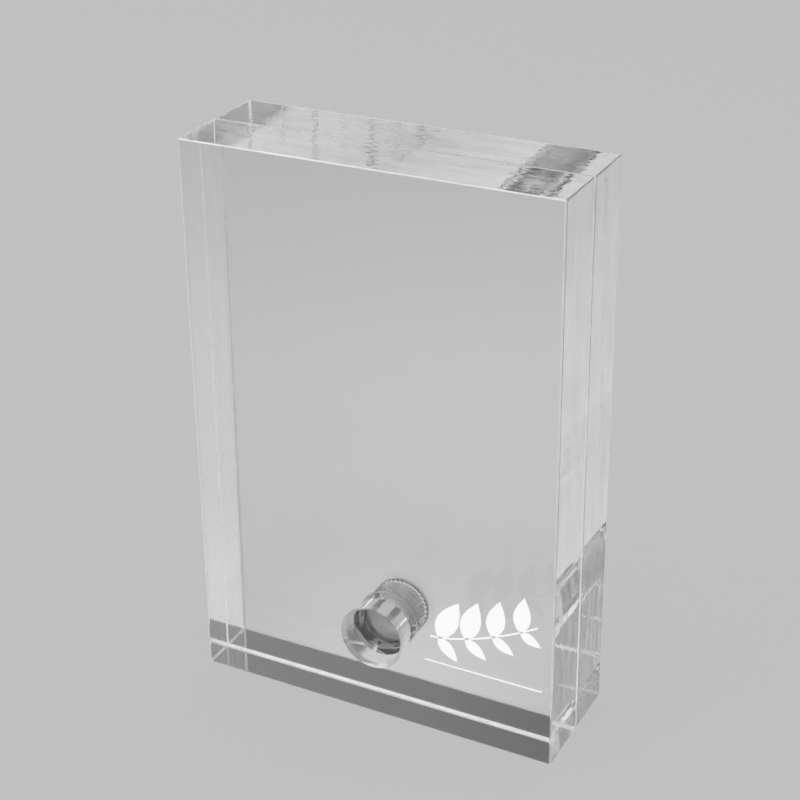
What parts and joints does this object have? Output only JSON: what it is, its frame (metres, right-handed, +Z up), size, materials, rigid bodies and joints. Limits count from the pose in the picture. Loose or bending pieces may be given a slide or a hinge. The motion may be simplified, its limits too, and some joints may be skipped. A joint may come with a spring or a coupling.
{
  "type": "acrylic block frame",
  "caption": "Clear acrylic block photo frame: two thick polished slabs with a slot between them, held near the foot by a clear recessed screw in a threaded insert.",
  "frame": {"origin": "middle of the base, halfway through the thickness", "axes": "+X to the right as seen from the front, +Y to the back, +Z up"},
  "size_m": [0.1016, 0.034, 0.1524],
  "materials": {
    "clear_acrylic": "clear cast acrylic, flame-polished faces and edges",
    "clear_moulded": "clear injection-moulded plastic",
    "white_print": "thin white screen print"
  },
  "bodies": {
    "back": {"back_block": "clear_acrylic", "threaded_insert": "clear_moulded"},
    "washer": {"head_washer": "clear_moulded"},
    "front": {"front_block": "clear_acrylic"},
    "screw": {"clear_screw": "clear_moulded"}
  },
  "joints": [
    {"name": "front_open", "type": "slide", "parent": "back", "child": "washer", "axis": [0, -1, 0], "range_m": [0, 0.015]},
    {"name": "screw_turn", "type": "hinge", "parent": "washer", "child": "screw", "pos_m": [0, -0.01235, 0.023], "axis": [0, -1, 0], "range_deg": [0, 2160]},
    {"name": "front_swing", "type": "hinge", "parent": "washer", "child": "front", "pos_m": [0, -0.00465, 0.023], "axis": [0, -1, 0], "continuous": true}
  ],
  "couplings": [
    {"joint": "screw_turn", "follows": "front_open", "rad_per_m": 2513.3}
  ]
}
